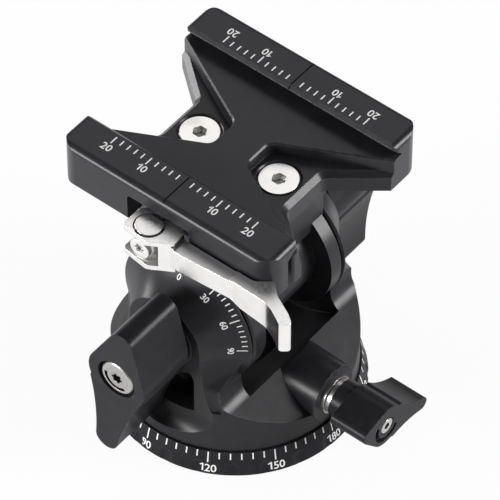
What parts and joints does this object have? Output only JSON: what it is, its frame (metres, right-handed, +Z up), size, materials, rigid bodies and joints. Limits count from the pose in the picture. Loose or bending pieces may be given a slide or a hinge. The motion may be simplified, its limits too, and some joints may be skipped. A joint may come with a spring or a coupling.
{
  "type": "two-way pan tilt head",
  "caption": "Two-way pan tilt head for a tripod or monopod, with wing lock knobs, degree scales and a lever quick-release clamp for dovetail plates.",
  "frame": {"origin": "middle of the tripod thread's mouth in the underside", "axes": "+Z up along the pan axis, +X along the clamp's jaws towards the pan knob, +Y away from the lever along the tilt axis"},
  "size_m": [0.0753, 0.0848, 0.082],
  "materials": {
    "black_anodised": "satin black anodised",
    "silver_alloy": "polished with fine blasted faces",
    "stainless": "turned and polished",
    "dark_steel": "blackened",
    "spring_steel": "drawn wire",
    "bronze": "machined",
    "nylon": "plain sheet",
    "black_washer": "plain sheet"
  },
  "bodies": {
    "base": {"base_plate": "black_anodised", "pan_spindle": "stainless", "base_screws": "dark_steel", "glide_washer": "nylon", "thrust_washer": "nylon", "spindle_nut": "dark_steel"},
    "yoke": {"yoke": "black_anodised", "brake_shoe": "bronze", "tilt_shaft": "stainless", "knob_washers": "black_washer"},
    "pan_lock": {"pan_collar": "stainless", "pan_stud": "stainless", "pan_knob": "black_anodised", "pan_knob_screw": "stainless"},
    "tilt_head": {"rotor": "black_anodised", "friction_washers": "nylon", "clamp_body": "black_anodised", "clamp_screws": "stainless", "jaw_springs": "spring_steel", "lever_pin": "stainless", "tension_screw": "stainless"},
    "near_knob": {"tilt_knob_near": "black_anodised", "knob_nut_near": "stainless", "knob_screw_near": "stainless"},
    "far_knob": {"tilt_knob_far": "black_anodised", "knob_nut_far": "stainless", "knob_screw_far": "stainless"},
    "jaw": {"moving_jaw": "black_anodised", "guide_pins": "stainless", "cam_plate": "dark_steel"},
    "clamp_lever": {"lever": "silver_alloy"}
  },
  "joints": [
    {"name": "pan_swivel", "type": "hinge", "parent": "base", "child": "yoke", "pos_m": [0, 0, 0.0069], "axis": [0, 0, 1], "continuous": true},
    {"name": "tilt", "type": "hinge", "parent": "yoke", "child": "tilt_head", "pos_m": [0, 0, 0.0375], "axis": [0, 1, 0], "range_deg": [-30, 80]},
    {"name": "near_tilt_lock", "type": "hinge", "parent": "yoke", "child": "near_knob", "pos_m": [0, -0.0342, 0.0375], "axis": [0, -1, 0], "range_deg": [-50, 50]},
    {"name": "far_tilt_lock", "type": "hinge", "parent": "yoke", "child": "far_knob", "pos_m": [0, 0.0342, 0.0375], "axis": [0, 1, 0], "range_deg": [-50, 50]},
    {"name": "pan_lock_turn", "type": "hinge", "parent": "yoke", "child": "pan_lock", "pos_m": [0.0394, 0, 0.0145], "axis": [1, 0, 0], "range_deg": [-45, 15]},
    {"name": "lever_swing", "type": "hinge", "parent": "tilt_head", "child": "clamp_lever", "pos_m": [-0.0012, -0.0284, 0.0717], "axis": [0, 0, 1], "range_deg": [-100, 0]},
    {"name": "jaw_slide", "type": "slide", "parent": "tilt_head", "child": "jaw", "axis": [0, -1, 0], "range_m": [0, 0.00121]}
  ],
  "couplings": [
    {"joint": "jaw_slide", "follows": "lever_swing", "m_per_rad": -0.00068755}
  ]
}
